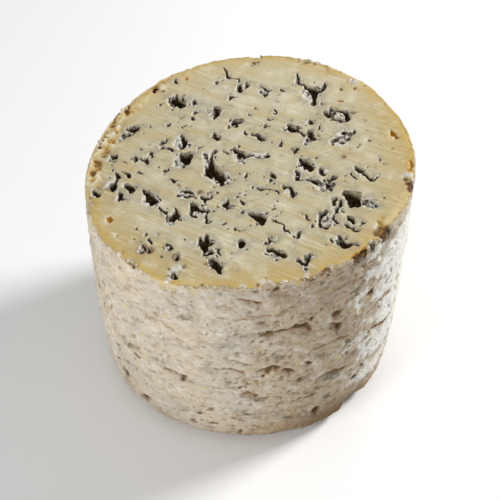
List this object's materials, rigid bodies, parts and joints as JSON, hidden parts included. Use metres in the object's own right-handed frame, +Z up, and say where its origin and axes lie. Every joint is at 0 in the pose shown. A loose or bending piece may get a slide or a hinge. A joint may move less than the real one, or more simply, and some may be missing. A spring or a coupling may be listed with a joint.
{
  "type": "fourme d ambert cheese",
  "caption": "Half of a tall round blue-veined cheese, cut across, with mould-lined hollows in its slanting cut face and a dry pitted rind.",
  "frame": {"origin": "middle of the underside of the whole part's box, on the surface it stands on", "axes": "+Z up along the drum's axis to the cut face, -Y towards the side the picture shows, +X to its right, where the cut is highest"},
  "size_m": [0.1286, 0.1283, 0.1092],
  "materials": {
    "cheese": "moist cream-coloured paste with blue-grey mould in its hollows, and a dry grey-beige rind"
  },
  "bodies": {
    "root": {"cheese": "cheese"}
  },
  "joints": []
}
